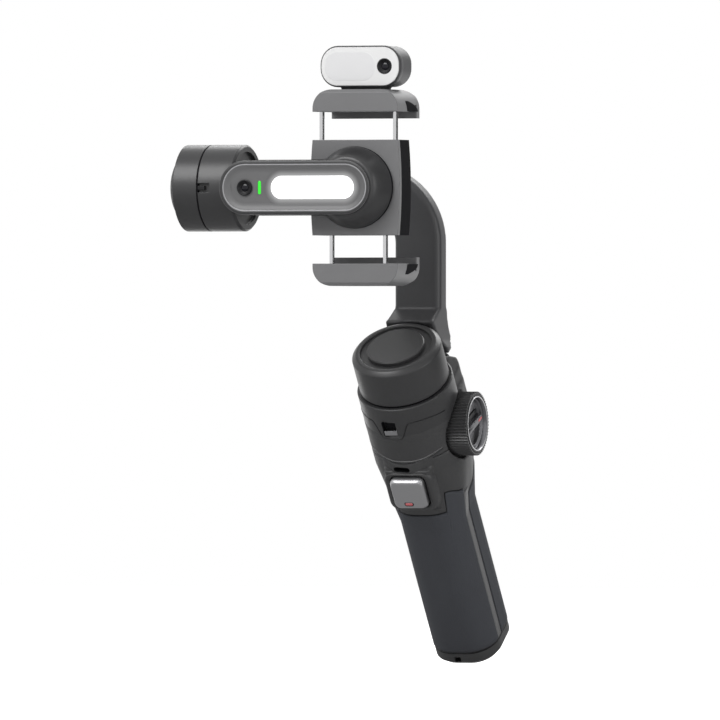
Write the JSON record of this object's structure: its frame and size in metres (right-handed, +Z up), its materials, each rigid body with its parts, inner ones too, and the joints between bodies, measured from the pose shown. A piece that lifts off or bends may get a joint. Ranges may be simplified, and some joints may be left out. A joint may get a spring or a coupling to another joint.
{
  "type": "smartphone gimbal",
  "caption": "Handheld three-axis gimbal for a phone, with a leaning handle, a spring clamp, a fill-light arm and a clip-on tracking camera.",
  "frame": {"origin": "mouth of the tripod thread in the base of the handle", "axes": "+Z up with the phone clamp level, +X along the long side of a phone, away from the tilt motor, +Y from the fill light towards the user; the handle leans 36 degrees from +Z towards -Y"},
  "size_m": [0.1234, 0.1841, 0.2945],
  "materials": {
    "shell": "fine matte moulded plastic, charcoal",
    "motor": "satin dark grey paint",
    "arm": "satin dark grey paint",
    "mid_grey": "matte mid grey",
    "pad": "fine grained soft rubber",
    "black": "black",
    "steel": "polished",
    "satin_metal": "satin",
    "copper": "enamelled winding",
    "magnet": "nickel plated",
    "board": "lacquered board",
    "cell": "shrink wrap",
    "face": "light grey satin",
    "lens": "black glossy lens",
    "diffuser": "white diffuser, lit",
    "led": "green, lit",
    "button_red": "muted red"
  },
  "bodies": {
    "handle": {"grip_shell": "shell", "front_pad": "pad", "rear_pad": "pad", "base_cap": "shell", "tripod_insert": "steel", "battery_cell": "cell", "main_board": "board", "usb_port": "steel", "head_shell": "shell", "pan_collar": "motor", "control_panel": "black", "trigger_pin": "steel", "pan_stator": "copper", "pan_bearings": "steel"},
    "stick_ring": {"joystick_ring": "steel"},
    "stick": {"joystick": "black"},
    "record_key": {"record_button": "button_red"},
    "mode_key": {"mode_button": "black"},
    "power_key": {"power_button": "black"},
    "pan_latch": {"pan_lock": "satin_metal"},
    "trigger": {"trigger": "satin_metal"},
    "wheel": {"wheel_shaft": "steel", "wheel_rim": "motor", "wheel_ring": "steel", "wheel_dish": "satin_metal"},
    "pan_arm": {"pan_rotor": "motor", "pan_magnets": "magnet", "pan_shaft": "steel", "pan_cap": "motor", "rear_arm": "arm", "arm_cover": "black", "tilt_housing": "motor", "tilt_cap": "motor", "tilt_stator": "copper", "tilt_bearings": "steel"},
    "tilt_arm": {"tilt_shaft": "steel", "tilt_rotor": "motor", "tilt_magnets": "magnet", "light_arm": "mid_grey", "light_trim": "satin_metal", "light_diffuser": "diffuser", "light_board": "board", "arm_lens": "lens", "status_led": "led", "roll_cover": "motor", "roll_stator": "copper", "roll_bearings": "steel"},
    "tilt_latch": {"tilt_lock": "black"},
    "clamp": {"roll_shaft": "steel", "clamp_body": "black", "clamp_cover": "mid_grey"},
    "upper": {"upper_jaw": "mid_grey", "upper_rods": "steel", "upper_pad": "pad"},
    "lower": {"lower_jaw": "mid_grey", "lower_rods": "steel", "lower_pad": "pad"},
    "tracker": {"tracker_body": "mid_grey", "tracker_face": "face", "tracker_lens": "lens"}
  },
  "joints": [
    {"name": "pan", "type": "hinge", "parent": "handle", "child": "pan_arm", "pos_m": [0, 0, 0], "axis": [0, -0.5878, 0.809], "range_deg": [-150, 150]},
    {"name": "tilt", "type": "hinge", "parent": "pan_arm", "child": "tilt_arm", "pos_m": [0, -0.14893, 0.21782], "axis": [1, 0, 0], "range_deg": [-60, 210]},
    {"name": "roll", "type": "hinge", "parent": "tilt_arm", "child": "clamp", "pos_m": [0, -0.14893, 0.21782], "axis": [0, 1, 0], "range_deg": [-45, 135]},
    {"name": "jaws", "type": "slide", "parent": "clamp", "child": "upper", "axis": [0, 0, 1], "range_m": [-0.008, 0.01]},
    {"name": "lower_jaw_slide", "type": "slide", "parent": "clamp", "child": "lower", "axis": [0, 0, -1], "range_m": [-0.008, 0.01]},
    {"name": "tracker_lift", "type": "slide", "parent": "upper", "child": "tracker", "axis": [0, 0, 1], "range_m": [0, 0.015]},
    {"name": "tilt_lock_slide", "type": "slide", "parent": "tilt_arm", "child": "tilt_latch", "axis": [1, 0, 0], "range_m": [0, 0.0022]},
    {"name": "pan_lock_slide", "type": "slide", "parent": "handle", "child": "pan_latch", "axis": [0, -0.5878, 0.809], "range_m": [0, 0.0045]},
    {"name": "trigger_pull", "type": "hinge", "parent": "handle", "child": "trigger", "pos_m": [0, -0.08551, 0.07959], "axis": [1, 0, 0], "range_deg": [0, 10], "stiffness_Nm_per_rad": 0.12},
    {"name": "focus_turn", "type": "hinge", "parent": "handle", "child": "wheel", "pos_m": [0.0185, -0.072, 0.1059], "axis": [1, 0, 0], "continuous": true},
    {"name": "stick_up_down", "type": "hinge", "parent": "handle", "child": "stick_ring", "pos_m": [0, -0.06059, 0.13103], "axis": [1, 0, 0], "range_deg": [-12, 12], "stiffness_Nm_per_rad": 0.02},
    {"name": "stick_left_right", "type": "hinge", "parent": "stick_ring", "child": "stick", "pos_m": [0, -0.06059, 0.13103], "axis": [0, -0.5878, 0.809], "range_deg": [-12, 12], "stiffness_Nm_per_rad": 0.02},
    {"name": "record_press", "type": "slide", "parent": "handle", "child": "record_key", "axis": [0, -0.809, -0.5878], "range_m": [0, 0.0008], "stiffness_N_per_m": 400},
    {"name": "mode_press", "type": "slide", "parent": "handle", "child": "mode_key", "axis": [0, -0.809, -0.5878], "range_m": [0, 0.0008], "stiffness_N_per_m": 400},
    {"name": "power_press", "type": "slide", "parent": "handle", "child": "power_key", "axis": [1, 0, 0], "range_m": [0, 0.0008], "stiffness_N_per_m": 400}
  ],
  "couplings": [
    {"joint": "lower_jaw_slide", "follows": "jaws", "ratio": 1}
  ]
}
